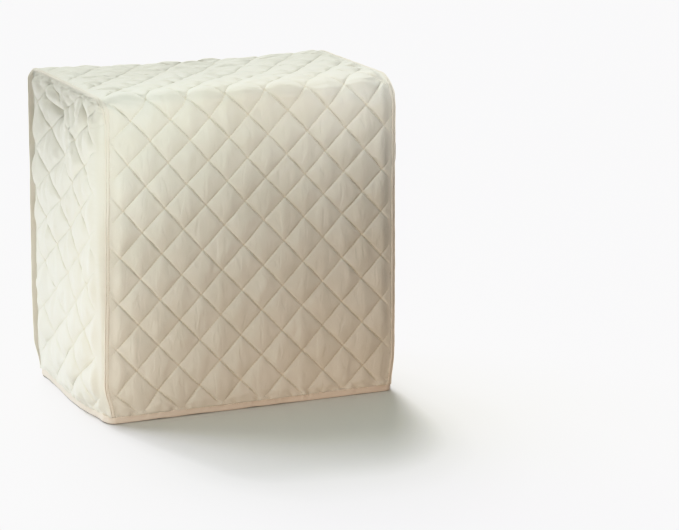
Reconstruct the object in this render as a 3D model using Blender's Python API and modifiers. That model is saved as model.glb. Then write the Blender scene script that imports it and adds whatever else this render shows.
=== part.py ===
"""A box-shaped quilted cloth cover that stands on its hem, open underneath.

One long strip of quilted cloth makes the front, the top and the back. Two quilted end panels close
the sides. Each end is joined to the strip by a bound seam, and a binding runs round the whole hem.
Metres, +Z up, the front faces -Y, the origin is at the middle of the floor that it stands on.
"""

import math

import bmesh
import bpy
from mathutils import Vector

# Driving sizes
WIDTH = 0.333
DEPTH = 0.218
HEIGHT = 0.347

# Quilted cloth: the lining side is smooth, the loft stands proud of it between the stitch lines
STITCH_THICKNESS = 0.0020
LOFT_THICKNESS = 0.0062
LOFT_ROUNDNESS = 0.65

# One diamond of the quilting takes this many cells of a panel's grid each way
CELLS_PER_DIAMOND = 4
STRIP_DIAMONDS_ACROSS = 7
STRIP_DIAMOND_TALL = 0.0495
STRIP_FIRST_CROSSING = (3, 0)
END_DIAMONDS_ACROSS = 3
END_DIAMOND_TALL = 0.0495
END_FIRST_CROSSING = (3, 3)
END_QUILTING_SLANT = 0.17

# Rounding of the top's two long edges, tight at the left end and loose at the right
LEFT_CORNER_RADIUS = 0.013
RIGHT_CORNER_RADIUS = 0.032

# Bindings
SEAM_BINDING_RADIUS = 0.0026
SEAM_INSET = 0.0015
HEM_HEIGHT = 0.008
HEM_THICKNESS = 0.0036
HEM_CORNER_RADIUS = 0.009
GAP = 0.0003
EDGE_INSET = SEAM_INSET + SEAM_BINDING_RADIUS + GAP + 0.0002
STRAIGHT_STEPS = 14
BEND_STEPS = 6
FLAT_STEPS = 9

# How the cloth departs from a plain box
LEFT_TUCK = 0.0065
RIGHT_TUCK = 0.004
TUCK_HEIGHT = 0.055
BACK_EDGE_SPREAD = 0.0035
TOP_SAG = 0.0070
FRONT_FULLNESS = 0.0030
END_FULLNESS = 0.0045
END_HOLLOW = 0.0055

# The bounding box is centred by this shift along X and Y
CENTRE_SHIFT = (0.0003, 0.0)

# Soft folds of an end panel that hang from its top seam.
# start and end: distance from the front seam and from the floor; size: half width; rise: outward height
LEFT_END_FOLDS = (
    {"start": (0.170, 0.345), "end": (0.113, 0.316), "size": 0.011, "rise": -0.0060},
    {"start": (0.150, 0.345), "end": (0.098, 0.322), "size": 0.009, "rise": 0.0040},
    {"start": (0.108, 0.340), "end": (0.086, 0.285), "size": 0.010, "rise": 0.0025},
    {"start": (0.062, 0.340), "end": (0.050, 0.300), "size": 0.012, "rise": -0.0025},
)
RIGHT_END_FOLDS = (
    {"start": (0.060, 0.335), "end": (0.100, 0.306), "size": 0.012, "rise": -0.0045},
    {"start": (0.085, 0.340), "end": (0.125, 0.310), "size": 0.010, "rise": 0.0030},
    {"start": (0.160, 0.335), "end": (0.150, 0.280), "size": 0.012, "rise": 0.0025},
)

CLOTH_COLOUR = (0.80, 0.77, 0.66, 1.0)
BINDING_COLOUR = (0.74, 0.64, 0.50, 1.0)
HEM_COLOUR = (0.76, 0.67, 0.55, 1.0)


def clear_scene():
    for old in list(bpy.data.objects):
        bpy.data.objects.remove(old, do_unlink=True)


def cloth_material(name, colour, roughness):
    material = bpy.data.materials.new(name)
    material.use_nodes = True
    surface = material.node_tree.nodes["Principled BSDF"]
    surface.inputs["Base Color"].default_value = colour
    surface.inputs["Roughness"].default_value = roughness
    surface.inputs["Metallic"].default_value = 0.0
    material.diffuse_color = colour
    return material


def smooth_step(value):
    value = min(max(value, 0.0), 1.0)
    return value * value * (3.0 - 2.0 * value)


def bump(value, middle, reach):
    """1 at the middle, falling to 0 at reach on either side."""
    return smooth_step(1.0 - abs(value - middle) / reach)


def tuck(z):
    """How far the lower edge draws in: 1 at the hem, 0 above the tuck."""
    return smooth_step(1.0 - (z - 2.0 * HEM_HEIGHT) / TUCK_HEIGHT)


def left_seam_offset(y, z):
    """How far the left end's edge lies from the plain box, along +X."""
    backness = smooth_step(y / DEPTH + 0.5)
    front = LEFT_TUCK * tuck(z)
    spread = 0.6 + 0.4 * bump(z, 0.36 * HEIGHT, 0.5 * HEIGHT)
    back = -BACK_EDGE_SPREAD * spread * (1.0 - tuck(z))
    return front * (1.0 - backness) + back * backness


def right_seam_offset(y, z):
    """How far the right end's edge lies from the plain box, along +X."""
    backness = smooth_step(y / DEPTH + 0.5)
    return -RIGHT_TUCK * tuck(z) + 0.5 * BACK_EDGE_SPREAD * backness * bump(z, 0.4 * HEIGHT, 0.5 * HEIGHT)


def arch_length(radius, inset, foot):
    """Length of the arch from the foot at the front over the top to the foot at the back."""
    turn = radius - inset
    straight = HEIGHT - radius - foot
    return 2.0 * straight + math.pi * turn + DEPTH - 2.0 * radius


def arch_point(share, radius, inset, foot):
    """Place (y, z) and outward direction on the arch, inset from the box, at a share of its length."""
    turn = radius - inset
    straight = HEIGHT - radius - foot
    flat = DEPTH - 2.0 * radius
    run = share * arch_length(radius, inset, foot)
    centre_y = DEPTH / 2.0 - radius
    centre_z = HEIGHT - radius
    if run <= straight:
        return -DEPTH / 2.0 + inset, foot + run, -1.0, 0.0
    run -= straight
    if run <= math.pi / 2.0 * turn:
        angle = run / turn
        away_y, away_z = -math.cos(angle), math.sin(angle)
        return -centre_y + turn * away_y, centre_z + turn * away_z, away_y, away_z
    run -= math.pi / 2.0 * turn
    if run <= flat:
        return -centre_y + run, HEIGHT - inset, 0.0, 1.0
    run -= flat
    if run <= math.pi / 2.0 * turn:
        angle = run / turn
        away_y, away_z = math.sin(angle), math.cos(angle)
        return centre_y + turn * away_y, centre_z + turn * away_z, away_y, away_z
    run -= math.pi / 2.0 * turn
    return DEPTH / 2.0 - inset, HEIGHT - radius - run, 1.0, 0.0


def arch_steps(radius, inset, foot):
    """Shares of the arch's length with close steps round its two bends."""
    bend = math.pi / 2.0 * (radius - inset)
    straight = HEIGHT - radius - foot
    flat = DEPTH - 2.0 * radius
    rise = ((straight, STRAIGHT_STEPS), (bend, BEND_STEPS))
    lengths = (*rise, (flat, FLAT_STEPS), *reversed(rise))
    shares = [0.0]
    for length, steps in lengths:
        start = shares[-1]
        for step in range(1, steps + 1):
            shares.append(start + length * step / steps / arch_length(radius, inset, foot))
    return shares


def end_fullness(share):
    """How far an end bellies out, at a share of its depth from the front seam."""
    share = min(max(share, 0.0), 1.0)
    return END_FULLNESS * 1.6 * math.sin(math.pi * share) ** 0.8 * (1.0 - share)


def loft_share(across, up):
    """Loft of the quilting from 0 on a stitch line to 1 in the middle of a diamond."""
    first = abs(math.sin(math.pi * (across + up) / CELLS_PER_DIAMOND))
    second = abs(math.sin(math.pi * (across - up) / CELLS_PER_DIAMOND))
    return (first * second) ** LOFT_ROUNDNESS


def fold_rise(folds, y, z):
    """Outward height of an end panel's soft folds."""
    total = 0.0
    for fold in folds:
        start = Vector(fold["start"])
        along = Vector(fold["end"]) - start
        place = Vector((y + DEPTH / 2.0, z)) - start
        share = min(max(place.dot(along) / along.length_squared, 0.0), 1.0)
        distance = (place - along * share).length
        total += fold["rise"] * math.exp(-((distance / fold["size"]) ** 2))
    return total


def quilted_panel(name, columns, rows, first_crossing, place, material, collection):
    """A panel of quilted cloth from a flat grid.

    place(across, up) gives a point of the lining side for shares 0 to 1 of the panel.
    Every quad is split along the stitch line that crosses it.
    """
    shape = bmesh.new()
    bmesh.ops.create_grid(shape, x_segments=columns, y_segments=rows, size=0.5)
    cells = {}
    for vertex in shape.verts:
        cells[vertex] = (round((vertex.co.x + 0.5) * columns), round((vertex.co.y + 0.5) * rows))
    for face in list(shape.faces):
        corners = sorted(face.verts, key=lambda v: cells[v])
        column = cells[corners[0]][0] - first_crossing[0]
        row = cells[corners[0]][1] - first_crossing[1]
        falls = (column + row + 1) % CELLS_PER_DIAMOND == 0
        rises = (column - row) % CELLS_PER_DIAMOND == 0
        crosses_down = falls or (not rises and (column + row) % 2 == 1)
        pair = (corners[1], corners[2]) if crosses_down else (corners[0], corners[3])
        bmesh.utils.face_split(face, *pair)
    for vertex in shape.verts:
        column, row = cells[vertex]
        vertex.co = place(column / columns, row / rows)
    mesh = bpy.data.meshes.new(name)
    order = [cells[vertex] for vertex in shape.verts]
    shape.to_mesh(mesh)
    shape.free()
    mesh.shade_smooth()
    panel = bpy.data.objects.new(name, mesh)
    collection.objects.link(panel)
    mesh.materials.append(material)
    loft = panel.vertex_groups.new(name="loft")
    flat = STITCH_THICKNESS / LOFT_THICKNESS
    for index, (column, row) in enumerate(order):
        inside = 0 < column < columns and 0 < row < rows
        share = loft_share(column - first_crossing[0], row - first_crossing[1]) if inside else 0.0
        loft.add([index], flat + (1.0 - flat) * share, "REPLACE")
    thicken = panel.modifiers.new("loft", "SOLIDIFY")
    thicken.thickness = LOFT_THICKNESS
    thicken.offset = 1.0
    thicken.vertex_group = "loft"
    thicken.thickness_vertex_group = 0.0
    return panel


def make_strip(material, collection):
    """The front, top and back in one length of cloth."""
    foot = HEM_HEIGHT + GAP
    mean_radius = (LEFT_CORNER_RADIUS + RIGHT_CORNER_RADIUS) / 2.0
    length = arch_length(mean_radius, STITCH_THICKNESS, foot)
    columns = STRIP_DIAMONDS_ACROSS * CELLS_PER_DIAMOND
    rows = round(length / STRIP_DIAMOND_TALL * CELLS_PER_DIAMOND)

    def place(across, up):
        looseness = smooth_step((across - 0.55) / 0.45)
        radius = LEFT_CORNER_RADIUS + (RIGHT_CORNER_RADIUS - LEFT_CORNER_RADIUS) * looseness
        y, z, away_y, away_z = arch_point(up, radius, STITCH_THICKNESS, foot)
        middle = math.sin(math.pi * across)
        sag = -TOP_SAG * smooth_step(away_z) * middle * bump(y, 0.2 * DEPTH, 0.75 * DEPTH)
        height_share = (z - foot) / HEIGHT
        full = FRONT_FULLNESS * abs(away_y) * middle * math.sin(math.pi * min(height_share * 1.05, 1.0))
        left = -WIDTH / 2.0 + EDGE_INSET + left_seam_offset(y, z)
        right = WIDTH / 2.0 - EDGE_INSET + right_seam_offset(y, z)
        push = sag + full
        return Vector((left + (right - left) * across, y + push * away_y, z + push * away_z))

    return quilted_panel("main_panel", columns, rows, STRIP_FIRST_CROSSING, place, material, collection)


def make_end(name, side, radius, seam_offset, folds, material, collection):
    """An end panel: side -1 is the left one, +1 the right one."""
    foot = HEM_HEIGHT + GAP
    top = HEIGHT - EDGE_INSET
    half = DEPTH / 2.0 - EDGE_INSET
    turn = radius - EDGE_INSET
    columns = END_DIAMONDS_ACROSS * CELLS_PER_DIAMOND
    rows = round((top - foot) / END_DIAMOND_TALL * CELLS_PER_DIAMOND)

    def rounded(y, z):
        """Draws the square top corners in to the arch's rounding."""
        u = (abs(y) - (half - turn)) / turn
        v = (z - (top - turn)) / turn
        if u <= 0.0 or v <= 0.0:
            return y, z
        new_u = u * math.sqrt(1.0 - v * v / 2.0)
        new_v = v * math.sqrt(1.0 - u * u / 2.0)
        return math.copysign(half - turn + turn * new_u, y), top - turn + turn * new_v

    def place(across, up):
        from_back = across if side < 0 else 1.0 - across
        z = foot + (top - foot) * up
        slant = END_QUILTING_SLANT * ((top + foot) / 2.0 - z) * 4.0 * from_back * (1.0 - from_back)
        y, z = rounded(half - 2.0 * half * from_back - slant * side, z)
        inner = side * (WIDTH / 2.0 - STITCH_THICKNESS) + seam_offset(y, z)
        y_share = (y + half) / (2.0 * half)
        z_share = (z - foot) / (top - foot)
        rim = math.sin(math.pi * y_share) * math.sin(math.pi * z_share)
        edge = smooth_step(6.0 * rim)
        full = end_fullness(y_share) * (1.0 - smooth_step(5.0 * z_share - 4.0))
        hollow = END_HOLLOW * edge * bump(y_share, 0.62, 0.35) * bump(z_share, 0.86, 0.35)
        rise = full - hollow + edge * fold_rise(folds, y, z)
        return Vector((inner + side * rise, y, z))

    return quilted_panel(name, columns, rows, END_FIRST_CROSSING, place, material, collection)


def make_seam_binding(name, side, radius, seam_offset, material, collection):
    """The bound seam round one end: up the front edge, over the top and down the back edge."""
    inset = SEAM_INSET
    foot = HEM_HEIGHT + GAP
    shares = arch_steps(radius, inset, foot)
    curve = bpy.data.curves.new(name, "CURVE")
    curve.dimensions = "3D"
    curve.bevel_depth = SEAM_BINDING_RADIUS
    curve.bevel_resolution = 2
    curve.use_fill_caps = True
    line = curve.splines.new("POLY")
    line.points.add(len(shares) - 1)
    for share, point in zip(shares, line.points):
        y, z, _, _ = arch_point(share, radius, inset, foot)
        x = side * (WIDTH / 2.0 - inset) + seam_offset(y, z)
        point.co = (x, y, z, 1.0)
    curve.materials.append(material)
    binding = bpy.data.objects.new(name, curve)
    collection.objects.link(binding)
    return binding


def hem_outline(inset):
    """Plan of the hem as a closed run of points, inset from the box."""
    radius = HEM_CORNER_RADIUS - inset
    half_depth = DEPTH / 2.0 - HEM_CORNER_RADIUS
    half_width = WIDTH / 2.0 - HEM_CORNER_RADIUS
    corner_steps = 5
    side_steps = 9
    points = []
    corners = ((1, -1, -90), (1, 1, 0), (-1, 1, 90), (-1, -1, 180))
    for index, (x_sign, y_sign, first_angle) in enumerate(corners):
        for step in range(corner_steps + 1):
            angle = math.radians(first_angle + 90.0 * step / corner_steps)
            x = x_sign * half_width + radius * math.cos(angle)
            y = y_sign * half_depth + radius * math.sin(angle)
            points.append((x, y))
        next_x, next_y, next_angle = corners[(index + 1) % len(corners)]
        start = points[-1]
        angle = math.radians(next_angle)
        end = (next_x * half_width + radius * math.cos(angle), next_y * half_depth + radius * math.sin(angle))
        for step in range(1, side_steps):
            share = step / side_steps
            points.append((start[0] + (end[0] - start[0]) * share, start[1] + (end[1] - start[1]) * share))
    return points


def hem_place(x, y):
    """Moves a point of the hem's plan to where the panels' lower edges lie."""
    across = x / WIDTH + 0.5
    shift = left_seam_offset(y, 0.0) * (1.0 - across) + right_seam_offset(y, 0.0) * across
    near_end = smooth_step(12.0 * abs(x) / WIDTH - 5.0)
    shift += math.copysign(end_fullness(y / DEPTH + 0.5) * near_end, x)
    return x + shift, y


def make_hem_binding(material, collection):
    """The flat binding that goes round the whole lower edge and stands on the floor."""
    curve = bpy.data.curves.new("hem_binding", "CURVE")
    curve.dimensions = "2D"
    curve.fill_mode = "BOTH"
    curve.extrude = HEM_HEIGHT / 2.0
    for inset in (0.0, HEM_THICKNESS):
        outline = [hem_place(x, y) for x, y in hem_outline(inset)]
        line = curve.splines.new("POLY")
        line.points.add(len(outline) - 1)
        for point, (x, y) in zip(line.points, outline):
            point.co = (x, y, 0.0, 1.0)
        line.use_cyclic_u = True
    curve.materials.append(material)
    hem = bpy.data.objects.new("hem_binding", curve)
    hem.location.z = HEM_HEIGHT / 2.0
    collection.objects.link(hem)
    return hem


def main():
    clear_scene()
    collection = bpy.data.collections.new("bread_maker_cover")
    bpy.context.scene.collection.children.link(collection)
    quilted = cloth_material("quilted_cotton", CLOTH_COLOUR, 0.62)
    tape = cloth_material("binding_tape", BINDING_COLOUR, 0.70)
    hem_tape = cloth_material("hem_tape", HEM_COLOUR, 0.70)
    left = (-1, LEFT_CORNER_RADIUS, left_seam_offset)
    right = (1, RIGHT_CORNER_RADIUS, right_seam_offset)
    parts = [
        make_strip(quilted, collection),
        make_end("end_panel_left", *left, LEFT_END_FOLDS, quilted, collection),
        make_end("end_panel_right", *right, RIGHT_END_FOLDS, quilted, collection),
        make_seam_binding("seam_binding_left", *left, tape, collection),
        make_seam_binding("seam_binding_right", *right, tape, collection),
        make_hem_binding(hem_tape, collection),
    ]
    for part in parts:
        part.location.x += CENTRE_SHIFT[0]
        part.location.y += CENTRE_SHIFT[1]


main()
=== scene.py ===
import math

import bmesh
import bpy
import numpy as np
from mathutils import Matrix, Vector


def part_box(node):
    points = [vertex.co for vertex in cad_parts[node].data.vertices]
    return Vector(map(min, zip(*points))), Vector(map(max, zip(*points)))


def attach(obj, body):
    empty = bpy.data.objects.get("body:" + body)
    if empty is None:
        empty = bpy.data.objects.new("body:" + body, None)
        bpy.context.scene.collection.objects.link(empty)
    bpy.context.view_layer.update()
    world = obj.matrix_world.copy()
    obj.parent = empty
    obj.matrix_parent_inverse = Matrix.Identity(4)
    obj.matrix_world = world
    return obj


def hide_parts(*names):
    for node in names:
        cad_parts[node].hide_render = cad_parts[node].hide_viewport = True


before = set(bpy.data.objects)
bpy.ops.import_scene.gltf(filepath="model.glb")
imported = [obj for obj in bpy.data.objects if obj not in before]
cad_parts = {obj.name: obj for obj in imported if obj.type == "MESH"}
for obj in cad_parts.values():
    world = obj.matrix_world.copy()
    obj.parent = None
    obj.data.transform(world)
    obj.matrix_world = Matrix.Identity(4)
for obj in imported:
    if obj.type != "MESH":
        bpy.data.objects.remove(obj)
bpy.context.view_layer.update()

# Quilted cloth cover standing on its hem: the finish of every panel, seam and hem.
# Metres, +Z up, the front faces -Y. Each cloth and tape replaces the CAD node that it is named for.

# Sizes, from the frame where a node states them
HEM_LOW, HEM_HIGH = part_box("hem_binding")
DEPTH = HEM_HIGH.y - HEM_LOW.y
HEM_HEIGHT = HEM_HIGH.z
WIDTH = 0.333
HEIGHT = 0.347
CENTRE_X = 0.0003
FOOT = HEM_HEIGHT - 0.0008

# Cloth: its thickness at a stitch line, and how high the diamonds stand over that
STITCH_THICKNESS = 0.0020
LINING_RELIEF = 0.0012
STRIP_PUFF = 0.0024
STRIP_RIDGE = 0.0013
END_PUFF = 0.0048
UNEVEN_PUFF = 0.16

# Small relief of the cloth. A wrinkle: how wide, long and high
STRIP_WRINKLE = (0.0060, 0.022, 0.0008)
END_WRINKLE = (0.0095, 0.036, 0.0023)
CRUMPLE_HEIGHT = 0.00060
PUCKER_HEIGHT = 0.00045
EDGE_GATHER_HEIGHT = 0.00045
HEM_GATHER_HEIGHT = 0.0030
STITCH_DIPS = (0.0007, 0.0003)
STITCH_DIP_WIDTH = 0.0010
EDGE_FADE = 0.011

# How far in from a panel's two upright edges no line is sewn
STRIP_PLAIN_EDGES = (0.003, 0.003)
LEFT_PLAIN_EDGES = (0.011, 0.013)
RIGHT_PLAIN_EDGES = (0.004, 0.004)

# Seams: a bound edge that lies in the strip's plane and stands out past the end panel
SEAM_INSET = 0.0012
SEAM_HALF_WIDTH = 0.0027
SEAM_HALF_THICKNESS = 0.0016
SEAM_POINTS = 430
EDGE_INSET = SEAM_INSET + 0.0022
END_EDGE_INSET = SEAM_INSET + 0.0010
SEAM_FOOT_INSET = 0.0016
SEAM_TOP_INSET = 0.0007

# The line of the seam beside the binding's edge: its place on the section, its width and depth
DITCH_PLACE = 0.0009
DITCH_WIDTH = 0.0005
DITCH_DEPTH = 0.65

# The binding turns and widens at the back of the left end, and widens over the front top corners
BACK_TURN = 0.38
BACK_WIDENING = 0.85
CORNER_WIDENING = 0.45

# Hem: the tape folded over the lower edge
HEM_INSET = 0.0016
HEM_HALF_THICKNESS = 0.0019
HEM_CORNER_RADIUS = 0.006
HEM_POINTS = 900
HEM_RIPPLE = 0.00035

# The left end's cloth rolls round the front corner by this radius, and the seam lies on the front beside it
WRAP_HEIGHTS = (0.0, 0.012, 0.040, 0.060, 0.140, 0.235, 0.318, 0.335, 0.345)
WRAP_RADII = (0.0016, 0.0008, 0.0010, 0.0018, 0.0039, 0.0061, 0.0075, 0.0058, 0.0)

# Rounding of the top's long edges
LEFT_CORNER_RADIUS = 0.013
RIGHT_CORNER_RADIUS = 0.032

# Quilting of the strip: a crossing of the stitch lines, then the diamonds' two diagonals
STRIP_CROSSING = (0.0376, 0.0078)
STRIP_DIAMOND = (0.0468, 0.0492)

# How far the crossings lie from an even lattice: places across and along a panel, then shifts in mm
STRIP_SHIFTS = {
    "across": (0, 0.080, 0.160, 0.240, 0.326),
    "along": (0, 0.100, 0.200, 0.250, 0.300, 0.345, 0.420, 0.520),
    "shift_across": (
        (-5, -4, -3, 2, 3), (-1, -2, -3.5, -1.8, -1),
        (2.5, 1, -0.5, -2, -2), (7, 4, 2, -0.5, -1),
        (13, 9, 4.5, 3, 2), (14, 9, 6, 6, 5),
        (12, 9, 6, 6, 5), (0, 0, 0, 0, 0),
    ),
    "shift_along": (
        (-2, -0.5, 0, 0, 0), (-2.5, -1.2, 0.5, 1, 0),
        (-3.5, -3, -1.5, -0.8, -1), (-4, -5, -5.5, -4.5, -4),
        (-6, -9, -10, -7.5, -5), (-13, -16, -13, -9, -6),
        (-14, -16, -14, -10, -7), (0, 0, 0, 0, 0),
    ),
}
END_SHIFTS = {
    "across": (0, 0.050, 0.100, 0.150, 0.211),
    "along": (0, 0.150, 0.220, 0.290, 0.336),
    "shift_across": (
        (6, 6, 5, 4, 3), (5, 6, 7, 4, 3),
        (2, 3, 8, 9, 7), (-6, -5, -2, 9, 6),
        (-6, -5, -2, 9, 6),
    ),
    "shift_along": (
        (0, 2, 6, 6, 6), (-1, 3, 7, 6.5, 6),
        (-4.5, 1, 5, 10, 9), (-5.5, -1, 2, 3, 3),
        (-5.5, -1, 2, 3, 3),
    ),
}

# Quilting of the ends: places of the crossings from the front seam at the reference height
END_COLUMNS = (-0.058, -0.018, 0.015, 0.043, 0.071, 0.110, 0.152, 0.194, 0.236, 0.276)
END_REFERENCE_COLUMN = 6
END_CROSSING_HEIGHT = 0.290
END_DIAMOND_TALL = 0.0505
END_SLANT = 0.18
END_SPACING = 0.0415
END_REACH = (-10.0, 8.0, -6.0, 12.0)

# Cells of the mesh between two stitch lines, close together beside a line
LINE_STEPS = (0.0, 0.022, 0.05, 0.09, 0.14, 0.20, 0.27, 0.35, 0.43)
LINE_STEPS += (0.50, 0.57, 0.65, 0.73, 0.80, 0.86, 0.91, 0.95, 0.978)
END_LINE_STEPS = (0.0, 0.02, 0.045) + tuple(round(0.08 + 0.04 * k, 3) for k in range(22)) + (0.955, 0.98)
LINING_STEPS = (0.0, 0.25, 0.5, 0.75)
CUT_MARGIN = 0.004
MERGE_DISTANCE = 0.00008

# How the cloth departs from a plain box
LEFT_TUCK = 0.0075
RIGHT_TUCK = 0.004
TUCK_HEIGHT = 0.040
BACK_EDGE_SPREAD = 0.0035
TOP_SAG = 0.0070
FRONT_FULLNESS = 0.0045
STRIP_SLACK = 0.0016
LATTICE_WANDER = 0.0010
END_FULLNESS = 0.0045
END_SLACK = 0.0018
END_ROLL = 0.0022
END_HOLLOW = 0.0055
END_BACK_RECESS = 0.0020
SWELL_PLACES = (0.0, 0.016, 0.033, 0.046, 0.074, 0.115, 0.154, 0.194, 0.218)
SWELL_SIZES = (0.0, 0.0016, 0.0024, 0.0034, 0.0050, 0.0028, -0.0003, -0.0018, -0.0010)

# Folds of an end that hang from its top seam: start and end, from the front seam and the floor, then reach and rise
LEFT_FOLDS = (
    ((0.170, 0.346), (0.153, 0.331), 0.0050, 0.0050),
    ((0.153, 0.331), (0.112, 0.322), 0.0046, 0.0048),
    ((0.112, 0.322), (0.094, 0.304), 0.0046, 0.0026),
    ((0.162, 0.322), (0.118, 0.311), 0.0066, -0.0062),
    ((0.190, 0.342), (0.172, 0.330), 0.0060, -0.0036),
    ((0.116, 0.344), (0.108, 0.322), 0.0038, 0.0046),
    ((0.108, 0.322), (0.078, 0.306), 0.0040, 0.0040),
    ((0.078, 0.306), (0.066, 0.280), 0.0040, 0.0026),
    ((0.090, 0.338), (0.062, 0.314), 0.0050, -0.0034),
    ((0.058, 0.344), (0.053, 0.324), 0.0034, 0.0030),
    ((0.040, 0.342), (0.034, 0.312), 0.0045, -0.0022),
    ((0.028, 0.342), (0.020, 0.322), 0.0034, 0.0024),
)
RIGHT_FOLDS = (
    ((0.060, 0.336), (0.100, 0.306), 0.0060, -0.0055),
    ((0.066, 0.341), (0.108, 0.312), 0.0038, 0.0036),
    ((0.120, 0.342), (0.134, 0.310), 0.0040, 0.0032),
    ((0.136, 0.342), (0.146, 0.316), 0.0050, -0.0026),
    ((0.168, 0.342), (0.160, 0.300), 0.0042, 0.0028),
)

# Sewing: the stitches of the quilting, and the shorter ones along the bindings
QUILTING_STITCH = {"Stitch spacing": 0.0031, "Stitch length": 0.0024, "Thread thickness": 0.00042}
BINDING_STITCH = {"Stitch spacing": 0.0027, "Stitch length": 0.0021, "Thread thickness": 0.00042}
CHAIN_STEP = 0.045
STITCH_LIFT = 0.00012

# Small creases of the cloth: how many to a metre across and along the panel, and how high they stand
CREASES_UPRIGHT = (150.0, 46.0, 1.0)
CREASES_LYING = (40.0, 200.0, 1.0)
CREASE_HEIGHT = 0.0006

# Cloth and thread: a colour and a second, darker tone that change at random over the cloth, then roughness and sheen
QUILTED_COTTON = ((0.68, 0.655, 0.565), (0.65, 0.62, 0.525), 0.55, 0.25)
SEAM_TAPE = ((0.70, 0.66, 0.57), (0.67, 0.615, 0.515), 0.65, 0.2)
HEM_TAPE = ((0.68, 0.61, 0.515), (0.65, 0.575, 0.48), 0.65, 0.2)
SEWING_THREAD = ((0.78, 0.73, 0.60), 0.5, 0.2)
# Painted shade in the stitch valleys: the cloth beside each stitch line is multiplied by this darker, warmer colour
VALLEY_PAINTED_SHADE = (0.92, 0.88, 0.80)
THREADS_TO_A_METRE = 0.314 / 0.00045

# Camera, fitted to the corners of the cover in the photograph
CAMERA_PLACE = (-1.1312, -2.8871, 0.8800)
CAMERA_PITCH = 13.56
CAMERA_HEADING = -23.94
PHOTO_WIDTH_PX = 679
FOCAL_PX = 2918.0
SENSOR_WIDTH = 36.0

# Studio light. A lamp: where it is or comes from, what it aims at, its size in degrees (sun) or metres, its power and
# its colour. The floor has lamps of its own, and gives the cover no light or shade
WORLD_COLOUR = (0.12, 0.12, 0.12)
FLOOR_COLOUR = (0.90, 0.90, 0.90)
FLOOR_HEIGHT = -0.0003
FLOOR_REACH = 30.0
MIDDLE = (0, 0, 0)
COVER_SUNS = {
    "above_behind": ((0.0, 0.6, 0.8), MIDDLE, 50.0, 2.98, (0.936, 1.0, 1.0)),
    "behind_left": ((-0.38, 0.55, 0.74), MIDDLE, 35.0, 1.3, (0.99, 1.0, 0.97)),
    "left_below": ((-0.9, -0.1, -0.5), MIDDLE, 40.0, 0.45, (0.98, 1.0, 0.90)),
}
COVER_LAMPS = {
    "close_left": ((-0.11, -0.24, 0.40), (-0.10, -0.1165, 0.33), 0.15, 0.208, (0.865, 0.967, 1.0)),
    "close_middle": ((0.0, -0.24, 0.42), (0.0, -0.1165, 0.35), 0.15, 0.056, (1.0, 0.82, 0.56)),
    "close_right": ((0.12, -0.24, 0.42), (0.12, -0.1165, 0.35), 0.15, 0.258, (0.90, 0.93, 0.98)),
    "upper_left_edge": ((-0.25, -0.20, 0.28), (-0.14, -0.1165, 0.28), 0.12, 0.112, (0.93, 1.0, 1.0)),
    "middle_from_left": ((-0.30, -0.30, 0.04), (-0.10, -0.1165, 0.17), 0.2, 0.425, (1.0, 0.94, 0.88)),
    "low_left": ((-0.50, 0.26, 0.0), (-0.16, -0.02, 0.06), 0.30, 1.45, (0.87, 0.93, 1.0)),
    "left_end": ((-0.38, -0.09, 0.10), (-0.17, 0.10, 0.12), 0.2, 0.19, (0.93, 0.98, 1.0)),
    "front_corner_roll": ((-0.28, -0.15, 0.19), (-0.17, -0.10, 0.19), 0.25, 0.022, (0.94, 0.98, 1.0)),
    "low_front_left": ((-0.20, -0.40, -0.05), (-0.10, -0.1165, 0.03), 0.25, 0.075, (1.0, 0.72, 0.52)),
    "low_front_right": ((0.12, -0.40, -0.05), (0.08, -0.1165, 0.03), 0.3, 0.475, (1.0, 0.76, 0.60)),
    "right_end": ((0.60, 0.30, 0.15), (0.17, 0.0, 0.17), 0.3, 2.2, (1.0, 1.0, 1.0)),
}
FLOOR_SUNS = {
    "floor_behind_left": ((-0.38, 0.55, 0.74), MIDDLE, 35.0, 1.92, (0.892, 0.882, 1.0)),
    "floor_behind": ((0.05, 0.75, 0.66), MIDDLE, 35.0, 4.15, (0.998, 0.964, 1.0)),
    "floor_low_behind": ((0.0, 0.9, 0.4), MIDDLE, 35.0, 2.30, (0.969, 1.0, 0.95)),
    "floor_overhead": ((0.0, 0.05, 1.0), MIDDLE, 60.0, 1.07, (0.953, 1.0, 0.838)),
}

NOISE_TABLE = 64


def smooth_step(value):
    value = np.clip(value, 0.0, 1.0)
    return value * value * (3.0 - 2.0 * value)


def bump(value, middle, reach):
    return smooth_step(1.0 - np.abs(value - middle) / reach)


def noise(u, v, seed):
    """Smooth random height from -1 to 1, with one hill or dip for about each unit of u and v."""
    table = np.random.default_rng(seed).uniform(-1.0, 1.0, (NOISE_TABLE, NOISE_TABLE))
    column, row = np.floor(u).astype(int), np.floor(v).astype(int)
    across, up = smooth_step(u - column), smooth_step(v - row)
    i, j, next_i, next_j = (k % NOISE_TABLE for k in (column, row, column + 1, row + 1))
    low = table[i, j] * (1 - across) + table[next_i, j] * across
    high = table[i, next_j] * (1 - across) + table[next_i, next_j] * across
    return low * (1 - up) + high * up


def ripple(run, pitch, seed, row=0.0):
    """Smooth random waves along a path, about one to each pitch."""
    return noise(run / pitch, np.full_like(run, row), seed)


def shift(tables, way, x, s):
    """A lattice's shift in metres, read between the places of its table."""
    across, along = tables["across"], tables["along"]
    grid = np.array(tables[way]) / 1000.0
    column = np.interp(x, across, np.arange(len(across)))
    row = np.interp(s, along, np.arange(len(along)))
    i, j = np.minimum(column.astype(int), len(across) - 2), np.minimum(row.astype(int), len(along) - 2)
    column, row = column - i, row - j
    low = grid[j, i] * (1.0 - column) + grid[j, i + 1] * column
    high = grid[j + 1, i] * (1.0 - column) + grid[j + 1, i + 1] * column
    return low * (1.0 - row) + high * row


def shifted(tables, x, s):
    return x + shift(tables, "shift_across", x, s), s + shift(tables, "shift_along", x, s)


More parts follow.
